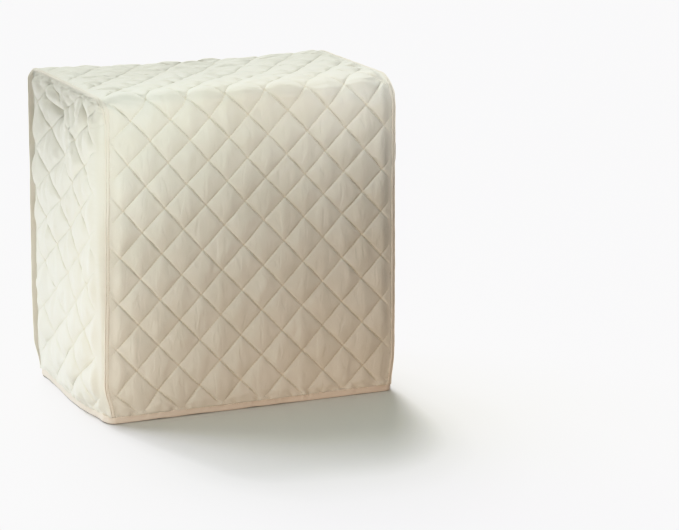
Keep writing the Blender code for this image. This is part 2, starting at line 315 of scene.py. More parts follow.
def unshifted(tables, x, s):
    even_x, even_s = x, s
    for _ in range(4):
        moved_x, moved_s = shifted(tables, even_x, even_s)
        even_x, even_s = even_x + x - moved_x, even_s + s - moved_s
    return even_x, even_s


# Shape of the cover, shared by the panels, the seams and the hem


def tuck(z):
    return smooth_step(1.0 - (z - 0.7 * HEM_HEIGHT) / TUCK_HEIGHT)


def left_seam_offset(y, z):
    backness = smooth_step(y / DEPTH + 0.5)
    spread = 0.6 + 0.4 * bump(z, 0.36 * HEIGHT, 0.5 * HEIGHT)
    back = -BACK_EDGE_SPREAD * spread * (1.0 - tuck(z))
    return LEFT_TUCK * tuck(z) * (1.0 - backness) + back * backness


def left_wrap(y, z):
    """Radius of the roll at the front corner of the left end: none on the top and at the back."""
    return np.interp(z, WRAP_HEIGHTS, WRAP_RADII) * smooth_step(0.5 - 8.0 * (y / DEPTH + 0.35))


def right_seam_offset(y, z):
    backness = smooth_step(y / DEPTH + 0.5)
    return -RIGHT_TUCK * tuck(z) + 0.5 * BACK_EDGE_SPREAD * backness * bump(z, 0.4 * HEIGHT, 0.5 * HEIGHT)


def hem_swell(y, z):
    """How far the left end's lower edge swings out, in front, and in, behind."""
    out = np.interp(y + DEPTH / 2.0, SWELL_PLACES, SWELL_SIZES)
    return out * (1.0 - smooth_step((z - HEM_HEIGHT) / 0.060))


def arch_length(radius, inset):
    return 2.0 * (HEIGHT - radius - FOOT) + math.pi * (radius - inset) + DEPTH - 2.0 * radius


def arch_point(share, radius, inset):
    """Place (y, z) and outward direction at a share of the way from front foot to back foot."""
    turn = radius - inset
    straight = HEIGHT - radius - FOOT
    flat = DEPTH - 2.0 * radius
    run = share * arch_length(radius, inset)
    bend = math.pi / 2.0 * turn
    first = np.clip((run - straight) / turn, 0.0, math.pi / 2.0)
    second = np.clip((run - straight - bend - flat) / turn, 0.0, math.pi / 2.0)
    angle = first + second
    away_y, away_z = -np.cos(angle), np.sin(angle)
    rise = np.clip(run, 0.0, straight)
    drop = np.clip(run - straight - 2.0 * bend - flat, 0.0, None)
    over = np.clip(run - straight - bend, 0.0, flat)
    y = -DEPTH / 2.0 + radius + turn * away_y + over
    z = FOOT + rise - drop + turn * away_z
    return y, z, away_y, away_z


def end_fullness(share):
    share = np.clip(share, 0.0, 1.0)
    belly = END_FULLNESS * 1.6 * np.sin(math.pi * share) ** 0.8 * (1.0 - share)
    roll = END_ROLL * bump(share, 0.06, 0.07)
    return belly + roll


def fold_rise(folds, y, z):
    up, down = np.zeros_like(y), np.zeros_like(y)
    for start, end, reach, height in folds:
        along = np.subtract(end, start)
        dy, dz = y + DEPTH / 2.0 - start[0], z - start[1]
        share = np.clip((dy * along[0] + dz * along[1]) / along.dot(along), 0.0, 1.0)
        far = np.hypot(dy - along[0] * share, dz - along[1] * share)
        rise = height * np.exp(-((far / reach) ** 2))
        up, down = np.maximum(up, rise), np.minimum(down, rise)
    return up + down


# Flat cloth: a mesh of the panel whose edges follow the stitch lines


def flat_cloth(width, length, to_flat, reach, steps):
    """A panel cut from cloth: its points (x, s), its faces and its rim's points.

    to_flat(first, second) places a pair of stitch coordinates on the panel; reach bounds them.
    """
    lines = [np.arange(math.floor(low), math.ceil(high)) for low, high in (reach[:2], reach[2:])]
    first, second = (np.add.outer(line, steps).ravel() for line in lines)
    x, s = to_flat(*np.meshgrid(first, second, indexing="ij"))
    index = np.arange(x.size).reshape(x.shape)
    quads = np.stack([index[:-1, :-1], index[1:, :-1], index[1:, 1:], index[:-1, 1:]], -1).reshape(-1, 4)
    near = (x > -CUT_MARGIN) & (x < width + CUT_MARGIN) & (s > -CUT_MARGIN) & (s < length + CUT_MARGIN)
    quads = quads[near.ravel()[quads].any(1)]
    used, quads = np.unique(quads, return_inverse=True)
    quads = quads.reshape(-1, 4)
    points = np.stack([x.ravel()[used], s.ravel()[used], np.zeros(used.size)], -1)
    mesh = bpy.data.meshes.new("cut")
    mesh.from_pydata(points.tolist(), [], quads.tolist())
    shape = bmesh.new()
    shape.from_mesh(mesh)
    bpy.data.meshes.remove(mesh)
    cuts = (((0, 0, 0), (-1, 0, 0)), ((width, 0, 0), (1, 0, 0)), ((0, 0, 0), (0, -1, 0)), ((0, length, 0), (0, 1, 0)))
    for place, outward in cuts:
        everything = shape.verts[:] + shape.edges[:] + shape.faces[:]
        bmesh.ops.bisect_plane(shape, geom=everything, dist=1e-7, plane_co=place, plane_no=outward, clear_outer=True)
    bmesh.ops.remove_doubles(shape, verts=shape.verts[:], dist=MERGE_DISTANCE)
    shape.verts.index_update()
    flat = np.array([v.co[:2] for v in shape.verts])
    faces = [[v.index for v in f.verts] for f in shape.faces]
    rim = sorted({v.index for e in shape.edges if e.is_boundary for v in e.verts})
    shape.free()
    return flat, faces, rim


def rim_order(flat, rim, width, length):
    """The rim's points in order round the panel, with how far round each is."""
    places = []
    for index in rim:
        x, s = flat[index]
        lower, right = (s, x), (width - x, width + s)
        upper, left = (length - s, 2 * width + length - x), (x, 2 * (width + length) - s)
        first_corner = x < 1e-6 and s < 1e-6
        nearest = lower if first_corner else min((lower, right, upper, left), key=lambda side: side[0])
        places.append((nearest[1], index))
    return sorted(places)


def zip_rims(outer, inner):
    """Triangles that join two rims given as sorted (how far round, point) pairs."""
    faces = []
    i = j = 0
    count_i, count_j = len(outer), len(inner)
    around = 1e9
    while i < count_i or j < count_j:
        next_outer = outer[i + 1][0] if i + 1 < count_i else (around if i < count_i else 2 * around)
        next_inner = inner[j + 1][0] if j + 1 < count_j else (around if j < count_j else 2 * around)
        a, b = outer[i % count_i][1], inner[j % count_j][1]
        if next_outer <= next_inner:
            faces.append([a, b, outer[(i + 1) % count_i][1]])
            i += 1
        else:
            faces.append([a, b, inner[(j + 1) % count_j][1]])
            j += 1
    return faces


def lay_map(mesh, corner_uv):
    """The piece's own UV map: corner_uv(points) gives the place on the flat cloth for each face corner's point."""
    corner = np.empty(len(mesh.loops), dtype=np.int32)
    mesh.loops.foreach_get("vertex_index", corner)
    mesh.uv_layers.new(name="cloth").data.foreach_set("uv", corner_uv(corner).astype(np.float32).ravel())


def add_object(name, data, material=None):
    made = bpy.data.objects.new(name, data)
    bpy.context.scene.collection.objects.link(made)
    if material:
        data.materials.append(material)
    return made


def normals_of(place, x, s):
    """Outward directions of the lining surface, by small steps."""
    step = 0.0004
    across = place(x + step, s) - place(x - step, s)
    up = place(x, s + step) - place(x, s - step)
    normal = np.cross(across, up)
    return normal / np.linalg.norm(normal, axis=1)[:, None]


# Relief of the quilting


def puff(first, second):
    """Loft from 0 on a stitch line to 1 in the middle of a diamond, steeper beside the first lines."""
    return np.abs(np.sin(math.pi * first)) ** 0.42 * np.abs(np.sin(math.pi * second)) ** 0.62


def puckers(first, second, spacing, seed):
    """Small gathers that run off a stitch line on both sides and die out."""
    total = 0.0
    for order, (line, along) in enumerate(((first, second), (second, first))):
        nearest = np.round(line)
        far = np.abs(line - nearest) * spacing
        side = np.sign(line - nearest)
        wave = noise(along * spacing / 0.0034, nearest * 3.7 + side * 1.3 + far / 0.011, seed + order)
        total = total + wave * np.exp(-far / 0.0065) * smooth_step(far / 0.0022)
    return total


class Panel:
    """A quilted panel: where its flat cloth lies, and how the quilting crosses it."""

    def __init__(self, node, size, place, lattice, sewing, steps, wrinkle, plain_edges, seed):
        """lattice: to_flat, from_flat, reach. sewing: heights of puff and ridge, spacing of the lines."""
        self.node, self.place, self.steps = node, place, steps
        self.width, self.length = size
        self.to_flat, self.from_flat, self.reach = lattice
        self.height, self.ridge, self.spacing = sewing
        self.wrinkle, self.plain_edges, self.seed = wrinkle, plain_edges, seed

    def from_edge(self, x, s):
        return np.minimum(np.minimum(x, self.width - x), np.minimum(s, self.length - s))

    def relief_fade(self, x, s):
        """0 at the seams, 1 well inside, with the plain margins that the ends have beside their seams."""
        fade = smooth_step(np.minimum(s, self.length - s) / EDGE_FADE)
        for far, plain in zip((x, self.width - x), self.plain_edges):
            fade = fade * smooth_step((far - 0.6 * plain) / EDGE_FADE)
        return fade

    def on_top(self, s):
        """1 on the top of the strip, 0 on its front and back and on the ends."""
        middle, reach = self.length / 2.0, DEPTH / 2.0
        top = smooth_step((reach - np.abs(s - middle)) / 0.03 + 0.5)
        return top if self.node == "main_panel" else np.zeros_like(s)

    def flatness(self, s):
        """Share of the puff that is left: the top is pulled flatter towards its back edge."""
        behind = smooth_step((s - self.length / 2.0 + DEPTH / 2.0) / DEPTH)
        return 1.0 + self.on_top(s) * (0.90 - 1.10 * behind)

    def quilting(self, x, s):
        """Outward height of the cloth over its stitch lines. The wrinkles stand upright, but lie across on the top.

        A soft upright ridge stands in each diamond, a little left of its middle.
        """
        first, second = self.from_flat(x, s)
        seed, top = self.seed, self.on_top(s)
        cell = np.floor(first) * 7.0 + np.floor(second) * 3.0
        loft = puff(first, second)
        uneven = 1.0 + UNEVEN_PUFF * noise(cell * 0.37, cell * 0.61, seed)
        soft = 1.0 - 0.10 * ((first % 1.0) - (second % 1.0))
        wide, long, high = self.wrinkle
        wander = 0.9 * noise(x / 0.03, s / 0.02, seed + 5)
        upright = noise(x / wide + wander, s / long, seed + 6) * (1.0 - top)
        lying = 2.3 * noise(x / (1.3 * long), 1.5 * s / wide + wander, seed + 9) * top
        wrinkles = np.sign(upright + lying) * np.abs(upright + lying) ** 1.3
        crumple = CRUMPLE_HEIGHT * noise(x / 0.011, s / 0.013, seed + 7)
        from_ridge = (first % 1.0) + (second % 1.0) - 0.86 + 0.12 * noise(cell * 0.53, cell * 0.29, seed + 10)
        peak = 1.0 - np.sqrt(from_ridge ** 2 + 0.012)
        rise = self.height * self.flatness(s) * loft * uneven * soft + self.ridge * (1.0 - top) * loft ** 0.7 * peak
        rise = rise + PUCKER_HEIGHT * puckers(first, second, self.spacing, seed + 8)
        rise = rise + loft ** 0.8 * (high * wrinkles + crumple)
        for line, depth in zip((first, second), STITCH_DIPS):
            far = np.abs(line - np.round(line)) * self.spacing
            rise = rise - depth * np.exp(-((far / STITCH_DIP_WIDTH) ** 2))
        return rise

    def outside(self, x, s):
        """Points of the outer face, and outward directions."""
        edge = self.from_edge(x, s)
        near_hem = np.exp(-np.minimum(s, self.length - s) / 0.012)
        gathers = noise(x / 0.0052 + s / 0.0043 * (1.0 - near_hem), edge / 0.014, self.seed + 20)
        gathers = gathers * (EDGE_GATHER_HEIGHT + HEM_GATHER_HEIGHT * near_hem)
        relief = self.quilting(x, s) * self.relief_fade(x, s)
        relief = relief + gathers * np.exp(-edge / 0.009) * smooth_step(edge / 0.0015)
        outward = normals_of(self.place, x, s)
        return self.place(x, s) + outward * (STITCH_THICKNESS + relief)[:, None], outward

    def inside(self, x, s):
        relief = LINING_RELIEF * puff(*self.from_flat(x, s)) * smooth_step(self.from_edge(x, s) / 0.012)
        return self.place(x, s) - normals_of(self.place, x, s) * relief[:, None]

    def build(self, material):
        size = (self.width, self.length, self.to_flat, self.reach)
        outer_flat, outer_faces, outer_rim = flat_cloth(*size, self.steps)
        inner_flat, inner_faces, inner_rim = flat_cloth(*size, LINING_STEPS)
        outer, _ = self.outside(*outer_flat.T)
        inner = self.inside(*inner_flat.T)
        outer_round = rim_order(outer_flat, outer_rim, self.width, self.length)
        inner_round = rim_order(inner_flat, inner_rim, self.width, self.length)
        inner_round = [(far, index + len(outer)) for far, index in inner_round]
        faces = outer_faces + [[index + len(outer) for index in reversed(face)] for face in inner_faces]
        faces += [[c, b, a] for a, b, c in zip_rims(outer_round, inner_round)]
        flat = np.concatenate([outer_flat, inner_flat])
        mesh = bpy.data.meshes.new(self.node + "_cloth")
        mesh.from_pydata(np.concatenate([outer, inner]).tolist(), [], faces)
        lay_map(mesh, lambda points: flat[points])
        first, second = self.from_flat(*flat.T)
        loft = puff(first, second)
        fade, top = self.relief_fade(*flat.T), self.on_top(flat[:, 1])
        leftward = np.exp(-((((first % 1.0) + (second % 1.0) - 0.75) / 0.42) ** 2))
        creased = loft * fade * (1.0 - top) * (0.25 + 0.75 * leftward)
        # The loft attribute places the painted shade of the stitch valleys; the creased ones place the bump of the
        # small creases
        shares = {"loft": 1.0 - fade * (1.0 - loft), "creased": creased, "creased_across": loft * fade * top}
        for title, values in shares.items():
            attribute = mesh.attributes.new(title, "FLOAT", "POINT")
            attribute.data.foreach_set("value", values.astype(np.float32))
        mesh.shade_smooth()
        return add_object(self.node + "_cloth", mesh, material)

    def stitch_lines(self):
        """Polylines just over the valleys, one for each stitch line."""
        chains = []
        low_a, high_a, low_b, high_b = self.reach
        ways = ((low_a, high_a, low_b, high_b), (low_b, high_b, low_a, high_a))
        for family, (low, high, start, stop) in enumerate(ways):
            for line in range(math.floor(low), math.ceil(high) + 1):
                along = np.arange(start, stop, CHAIN_STEP)
                pair = (np.full_like(along, line), along)
                x, s = self.to_flat(*(pair if family == 0 else pair[::-1]))
                low_x, high_x = self.plain_edges
                keep = (x > low_x) & (x < self.width - high_x) & (s > 0.002) & (s < self.length - 0.002)
                if keep.sum() > 2:
                    points, outward = self.outside(x[keep], s[keep])
                    chains.append(points + outward * STITCH_LIFT)
        return chains


def strip_panel():
    """The strip that makes the front, the top and the back."""
    width = WIDTH - 2.0 * EDGE_INSET
    mean_radius = (LEFT_CORNER_RADIUS + RIGHT_CORNER_RADIUS) / 2.0
    length = arch_length(mean_radius, STITCH_THICKNESS)
    wide, tall = STRIP_DIAMOND
    x0, s0 = STRIP_CROSSING[0] - EDGE_INSET, STRIP_CROSSING[1] - FOOT

    def place(x, s):
        across = x / width
        radius = LEFT_CORNER_RADIUS + (RIGHT_CORNER_RADIUS - LEFT_CORNER_RADIUS) * smooth_step((across - 0.55) / 0.45)
        x = x + LATTICE_WANDER * noise(x / 0.055, s / 0.055, 31) * bump(across, 0.5, 0.5)
        s = s + LATTICE_WANDER * noise(x / 0.055, s / 0.055, 32) * bump(s / length, 0.5, 0.5)
        y, z, away_y, away_z = arch_point(s / length, radius, STITCH_THICKNESS)
        middle = np.sin(math.pi * np.clip(across, 0.0, 1.0))
        sag = -TOP_SAG * smooth_step(away_z) * middle * bump(y, 0.2 * DEPTH, 0.75 * DEPTH)
        share = np.clip((z - FOOT) / HEIGHT * 1.05, 0.0, 1.0)
        full = FRONT_FULLNESS * np.abs(away_y) * middle ** 0.7 * np.sin(math.pi * share ** 1.7)
        slack = STRIP_SLACK * noise(across * 5.0, s / 0.075, 33) * middle
        left = -WIDTH / 2.0 + EDGE_INSET + left_seam_offset(y, z) + left_wrap(y, z)
        right = WIDTH / 2.0 - EDGE_INSET + right_seam_offset(y, z)
        push = sag + full + slack
        across = x / width
        return np.stack([CENTRE_X + left + (right - left) * across, y + push * away_y, z + push * away_z], -1)

    def to_flat(first, second):
        x, s = x0 + wide * (first + second) / 2.0, s0 + tall * (first - second) / 2.0
        return shifted(STRIP_SHIFTS, x, s)

    def from_flat(x, s):
        x, s = unshifted(STRIP_SHIFTS, x, s)
        return (x - x0) / wide + (s - s0) / tall, (x - x0) / wide - (s - s0) / tall

    rim_x, rim_s = np.meshgrid([0.0, width], [0.0, length])
    firsts, seconds = from_flat(rim_x.ravel(), rim_s.ravel())
    reach = (firsts.min() - 1, firsts.max() + 1, seconds.min() - 1, seconds.max() + 1)
    spacing = 1.0 / math.hypot(1.0 / wide, 1.0 / tall)
    lattice, sewing = (to_flat, from_flat, reach), (STRIP_PUFF, STRIP_RIDGE, spacing)
    finish = (LINE_STEPS, STRIP_WRINKLE, STRIP_PLAIN_EDGES, 100)
    return Panel("main_panel", (width, length), place, lattice, sewing, *finish)


def end_panel(node, side, radius, seam_offset, folds, plain_edges, seed):
    """An end panel: side -1 is the left one, +1 the right one."""
    half = DEPTH / 2.0 - END_EDGE_INSET
    top = HEIGHT - END_EDGE_INSET
    turn = radius - END_EDGE_INSET
    width, length = 2.0 * half, top - FOOT
    columns = np.array(END_COLUMNS)
    numbers = END_REFERENCE_COLUMN - np.arange(len(END_COLUMNS), dtype=float)

    def depth_of(x):
        """Distance from the front seam: the left cloth runs from the back, the right one from the front."""
        return DEPTH / 2.0 + half - x if side < 0 else DEPTH / 2.0 - half + x

    def from_flat(x, s):
        x, s = unshifted(END_SHIFTS, x, s)
        y = depth_of(x) - END_SLANT * (END_CROSSING_HEIGHT - (s + FOOT))
        number = np.interp(y, columns, numbers)
        row = (s + FOOT - END_CROSSING_HEIGHT) / (END_DIAMOND_TALL / 2.0)
        return (number + row) / 2.0, (number - row) / 2.0

    def to_flat(first, second):
        number, row = first + second, first - second
        s = row * END_DIAMOND_TALL / 2.0 + END_CROSSING_HEIGHT - FOOT
        y = np.interp(number, numbers[::-1], columns[::-1]) + END_SLANT * (END_CROSSING_HEIGHT - (s + FOOT))
        return shifted(END_SHIFTS, DEPTH / 2.0 + half - y if side < 0 else y - DEPTH / 2.0 + half, s)

    def place(x, s):
        x = x + LATTICE_WANDER * noise(x / 0.05, s / 0.05, seed + 31) * bump(x / width, 0.5, 0.5)
        y, z = depth_of(x) - DEPTH / 2.0, s + FOOT
        u, v = (np.abs(y) - (half - turn)) / turn, (z - (top - turn)) / turn
        corner = (u > 0.0) & (v > 0.0)
        cu, cv = np.clip(u, 0.0, 1.0), np.clip(v, 0.0, 1.0)
        new_u = cu * np.sqrt(1.0 - cv * cv / 2.0)
        new_v = cv * np.sqrt(1.0 - cu * cu / 2.0)
        y = np.where(corner, np.copysign(half - turn + turn * new_u, y), y)
        z = np.where(corner, top - turn + turn * new_v, z)
        inner = side * (WIDTH / 2.0 - STITCH_THICKNESS) + seam_offset(y, z)
        y_share = np.clip((y + half) / (2.0 * half), 0.0, 1.0)
        z_share = np.clip((z - FOOT) / (top - FOOT), 0.0, 1.0)
        rim = np.sin(math.pi * y_share) * np.sin(math.pi * z_share)
        edge = smooth_step(6.0 * rim)
        top_edge = 1.0 - smooth_step(16.0 * z_share - 15.0)
        side_edge = smooth_step(np.sin(math.pi * y_share) * 9.0)
        full = end_fullness(y_share) * (1.0 - smooth_step(5.0 * z_share - 4.0))
        hollow = END_HOLLOW * edge * bump(y_share, 0.62, 0.35) * bump(z_share, 0.86, 0.35)
        slack = END_SLACK * noise(y / 0.045 + 9.0, z / 0.09, seed + 33) * edge
        near_back = 1.0 - smooth_step((1.0 - y_share) * width / 0.034)
        back_edge = END_BACK_RECESS * near_back * smooth_step(7.0 * z_share - 0.4)
        rise = full - hollow + slack - back_edge + top_edge * side_edge * fold_rise(folds, y, z)
        if side < 0:
            rise = rise + hem_swell(y, z)
            radius_here = np.maximum(left_wrap(np.full_like(y, -DEPTH / 2.0), z), 1e-5)
            run = y + half
            turned = np.clip(run / radius_here, 0.0, math.pi / 2.0)
            near = run < math.pi / 2.0 * radius_here
            rise = rise - radius_here * (1.0 - np.sin(turned)) * near
            y = np.where(near, -half - END_EDGE_INSET + STITCH_THICKNESS + radius_here * (1.0 - np.cos(turned)), y)
        return np.stack([CENTRE_X + inner + side * rise, y, z], -1)

    lattice, sewing = (to_flat, from_flat, END_REACH), (END_PUFF, 0.0, END_SPACING)
    return Panel(node, (width, length), place, lattice, sewing, END_LINE_STEPS, END_WRINKLE, plain_edges, seed)


# Bindings: a rounded section carried along a path


def oval_section(half_wide, half_thick, count, squareness=0.6):
    """Points (wide, thick) of a rounded flat section."""
    angle = np.arange(count) / count * 2.0 * math.pi
    wide = np.cos(angle)
    thick = np.sign(np.sin(angle)) * (1.0 - np.abs(wide) ** (2.0 / squareness)).clip(0.0) ** (squareness / 2.0)
    return np.stack([wide * half_wide, thick * half_thick], -1)


def sweep(name, path, wide_way, thick_way, sections, closed, material):
    """A binding: sections[i] holds the section's points at path[i]."""
    count, ring = len(path), sections.shape[1]
    points = path[:, None] + sections[..., :1] * wide_way[:, None] + sections[..., 1:] * thick_way[:, None]
    last = count if closed else count - 1
    i, k = np.meshgrid(np.arange(last), np.arange(ring), indexing="ij")
    a, b = i * ring + k, i * ring + (k + 1) % ring
    c, d = ((i + 1) % count) * ring + (k + 1) % ring, ((i + 1) % count) * ring + k
    faces = np.stack([a, b, c, d], -1).reshape(-1, 4).tolist()
    if not closed:
        faces.append(list(range(ring))[::-1])
        faces.append([(count - 1) * ring + k for k in range(ring)])
    mesh = bpy.data.meshes.new(name)
    mesh.from_pydata(points.reshape(-1, 3).tolist(), [], faces)
    lengths = np.concatenate([[0.0], np.linalg.norm(np.diff(path, axis=0), axis=1).cumsum()])
    girth = np.linalg.norm(np.diff(sections[0], axis=0, append=sections[0][:1]), axis=1)
    girth = np.concatenate([[0.0], girth.cumsum()[:-1]])
    lay_map(mesh, lambda points: np.stack([lengths[points // ring], girth[points % ring]], -1))
    shape = bmesh.new()
    shape.from_mesh(mesh)
    bmesh.ops.recalc_face_normals(shape, faces=shape.faces[:])
    shape.to_mesh(mesh)
    shape.free()
    mesh.shade_smooth()
    return add_object(name, mesh, material)


def seam_binding(name, side, radius, seam_offset, seed, material):
    """The bound seam round one end, and the row of stitches that holds it."""
    share = np.linspace(0.0, 1.0, SEAM_POINTS)
    y, z, away_y, away_z = arch_point(share, radius, SEAM_INSET)
    x = CENTRE_X + side * (WIDTH / 2.0 - SEAM_INSET) + seam_offset(y, z)
    run = share * arch_length(radius, SEAM_INSET)
    x = x + 0.0003 * ripple(run, 0.03, seed)
    top, behind = smooth_step(away_z), smooth_step(4.0 * (y / DEPTH + 0.25))
    backness = behind * (1.0 - top) * smooth_step((z - 0.010) / 0.035)
    foot = behind * (1.0 - smooth_step((z - FOOT) / 0.035))
    x = x - side * (SEAM_FOOT_INSET * foot + SEAM_TOP_INSET * top)
    if side < 0:
        x = x + left_wrap(y, z) + 0.0002 * backness
    path = np.stack([x, y, z], -1)
    turn = BACK_TURN * backness * (side < 0)
    wide_way = np.stack([side * np.cos(turn), np.sin(turn), 0.0 * turn], -1)
    thick_way = np.stack([-side * np.sin(turn), away_y * np.cos(turn), away_z], -1)
    section = oval_section(SEAM_HALF_WIDTH, SEAM_HALF_THICKNESS, 36)
    ditch = np.exp(-(((section[:, 0] - DITCH_PLACE) / DITCH_WIDTH) ** 2)) * (section[:, 1] > 0.0)
    section[:, 1] *= 1.0 - DITCH_DEPTH * ditch
    width = 1.0 + 0.06 * ripple(run, 0.012, seed + 1, 2.0) + BACK_WIDENING * backness - 0.20 * top
    front_corner = np.exp(-(((y + DEPTH / 2.0 - 0.003) / 0.006) ** 2)) * smooth_step((z - 0.322) / 0.008)
    width = width + CORNER_WIDENING * front_corner
    thickness = 1.0 + 0.16 * ripple(run, 0.0052, seed + 2, 4.0)
    thickness = thickness + 0.10 * ripple(run, 0.02, seed + 3)
    sections = section[None] * np.stack([width, thickness], -1)[:, None]
    piece = sweep(name, path, wide_way, thick_way, sections, False, material)
    row = path - wide_way * 0.0014 + thick_way * (SEAM_HALF_THICKNESS * 0.98)
    return piece, row


def hem_path(inset):
    """Plan of the hem as a closed run of points, set in from the box, outward directions and how far along."""
    half_x, half_y = WIDTH / 2.0 - HEM_CORNER_RADIUS, DEPTH / 2.0 - HEM_CORNER_RADIUS
    bend = math.pi / 2.0 * HEM_CORNER_RADIUS
    places = np.concatenate([[0.0], np.cumsum([2.0 * half_x, bend, 2.0 * half_y, bend] * 2)])
    runs = np.arange(HEM_POINTS) / HEM_POINTS * places[-1]
    angle = np.interp(runs, places, np.radians([0, 0, 90, 90, 180, 180, 270, 270, 360]))
    outward = np.stack([np.sin(angle), -np.cos(angle)], -1)
    x = np.interp(runs, places, half_x * np.array([-1, 1, 1, 1, 1, -1, -1, -1, -1]))
    y = np.interp(runs, places, half_y * np.array([-1, -1, -1, 1, 1, 1, 1, -1, -1]))
    x, y = x + (HEM_CORNER_RADIUS - inset) * outward[:, 0], y + (HEM_CORNER_RADIUS - inset) * outward[:, 1]
    floor = np.zeros_like(y)
    across = x / WIDTH + 0.5
    shift = left_seam_offset(y, floor) * (1.0 - across) + right_seam_offset(y, floor) * across
    near_end = smooth_step(12.0 * np.abs(x) / WIDTH - 5.0)
    shift = shift + np.copysign(end_fullness(y / DEPTH + 0.5) * near_end, x)
    shift = shift - hem_swell(y, floor) * near_end * (x < 0.0)
    return np.stack([x + shift + CENTRE_X, y], -1), outward, runs


def hem_binding(material):
    """The tape folded over the lower edge, with its small gathers, and its row of stitches."""
    plan, outward, runs = hem_path(HEM_INSET)
    count = len(plan)
    rise = HEM_RIPPLE * (1.0 + ripple(runs, 0.016, 61))
    path = np.concatenate([plan, (HEM_HEIGHT / 2.0 + rise)[:, None]], 1)
    wide_way = np.tile([0.0, 0.0, 1.0], (count, 1))
    thick_way = np.concatenate([outward, np.zeros((count, 1))], 1)
    section = oval_section(HEM_HEIGHT / 2.0, HEM_HALF_THICKNESS, 18, 0.5)
    pleats = ripple(runs, 0.0046, 62)
    slow = ripple(runs, 0.022, 63)
    upper = smooth_step(section[:, 0] / HEM_HEIGHT + 0.5)
    thickness = 1.0 + 0.20 * slow[:, None] + 0.30 * pleats[:, None] * upper[None]
    sections = np.stack([np.tile(section[:, 0], (count, 1)), section[None, :, 1] * thickness], -1)
    piece = sweep("hem_binding_tape", path, wide_way, thick_way, sections, True, material)
    row = path + wide_way * 0.0026 + thick_way * 0.00185
    return piece, row


# Sewing, by Geometry Nodes


def add_node(nodes, kind, values=None, **settings):
    """A new node, with its settings made and values set on its own sockets."""
    node = nodes.new(kind)
    for name, value in settings.items():
        setattr(node, name, value)
    for name, value in (values or {}).items():
        node.inputs[name].default_value = value
    return node


def stitch_tree(thread):
    """A node tree that lays short stitches along the lines of a mesh."""
    tree = bpy.data.node_groups.new("sewn_stitches", "GeometryNodeTree")
    face = tree.interface
    face.new_socket("Geometry", in_out="INPUT", socket_type="NodeSocketGeometry")
    for name, value in QUILTING_STITCH.items():
        face.new_socket(name, in_out="INPUT", socket_type="NodeSocketFloat").default_value = value
    face.new_socket("Geometry", in_out="OUTPUT", socket_type="NodeSocketGeometry")
    nodes = tree.nodes
    start, end = nodes.new("NodeGroupInput"), nodes.new("NodeGroupOutput")
    curve = nodes.new("GeometryNodeMeshToCurve")
    points = add_node(nodes, "GeometryNodeCurveToPoints", mode="LENGTH")
    bead = add_node(nodes, "GeometryNodeMeshIcoSphere", {"Radius": 0.5, "Subdivisions": 1})
    place = nodes.new("GeometryNodeInstanceOnPoints")
    scale = nodes.new("ShaderNodeCombineXYZ")
    realize = nodes.new("GeometryNodeRealizeInstances")
    smooth = nodes.new("GeometryNodeSetShadeSmooth")
    paint = add_node(nodes, "GeometryNodeSetMaterial", {"Material": thread})
    wires = (
        (start, "Geometry", curve, 0), (curve, 0, points, "Curve"),
        (start, "Stitch spacing", points, "Length"), (points, "Points", place, "Points"),
        (points, "Rotation", place, "Rotation"), (bead, "Mesh", place, "Instance"),
        (start, "Thread thickness", scale, "X"), (start, "Thread thickness", scale, "Y"),
        (start, "Stitch length", scale, "Z"), (scale, 0, place, "Scale"),
        (place, 0, realize, 0), (realize, 0, smooth, 0),
        (smooth, 0, paint, "Geometry"), (paint, 0, end, 0),
    )
    for source, output, target, socket in wires:
        tree.links.new(source.outputs[output], target.inputs[socket])
    return tree


def sew(name, chains, tree, sizes):
    """Stitches along chains of points, as one plain mesh."""
    points, edges = [], []
    for chain in chains:
        first = len(points)
        points.extend(chain.tolist())
        edges.extend((k, k + 1) for k in range(first, len(points) - 1))
    lines = bpy.data.meshes.new(name + "_lines")
    lines.from_pydata(points, edges, [])
    guide = add_object(name + "_lines", lines)
    modifier = guide.modifiers.new("sewing", "NODES")
    modifier.node_group = tree
    for item in tree.interface.items_tree:
        if item.in_out == "INPUT" and item.name in sizes:
            modifier[item.identifier] = sizes[item.name]
    depsgraph = bpy.context.evaluated_depsgraph_get()
    mesh = bpy.data.meshes.new_from_object(guide.evaluated_get(depsgraph))
    bpy.data.objects.remove(guide, do_unlink=True)
    bpy.data.meshes.remove(lines)
    mesh.name = name
    return add_object(name, mesh)


# Materials


def new_material(name, colour, roughness, sheen, specular=0.35):
    material = bpy.data.materials.new(name)
    material.use_nodes = True
    surface = material.node_tree.nodes["Principled BSDF"]
    values = {
        "Base Color": (*colour, 1.0),
        "Roughness": roughness,
        "Sheen Weight": sheen,
        "Sheen Roughness": 0.45,
        "Specular IOR Level": specular,
    }
    for name, value in values.items():
        surface.inputs[name].default_value = value
    return material, material.node_tree.nodes, material.node_tree.links, surface


def crease_pattern(nodes, links, cloth, scale, where):
    """Short soft ridges, long one way and narrow the other, as high as the attribute says."""
    spread = add_node(nodes, "ShaderNodeMapping", {"Scale": scale})
    field = add_node(nodes, "ShaderNodeTexNoise", {"Scale": 1.0, "Detail": 0.6, "Distortion": 0.4})
    range_of_ridge = {"From Min": 0.46, "From Max": 0.76}
    ridge = add_node(nodes, "ShaderNodeMapRange", range_of_ridge, interpolation_type="SMOOTHSTEP")
    share = add_node(nodes, "ShaderNodeAttribute", attribute_name=where)
    faded = add_node(nodes, "ShaderNodeMath", operation="MULTIPLY")
    links.new(cloth.outputs["UV"], spread.inputs["Vector"])
    links.new(spread.outputs["Vector"], field.inputs["Vector"])
    links.new(field.outputs["Fac"], ridge.inputs["Value"])
    links.new(ridge.outputs["Result"], faded.inputs[0])
    links.new(share.outputs["Fac"], faded.inputs[1])
    return faded.outputs[0]


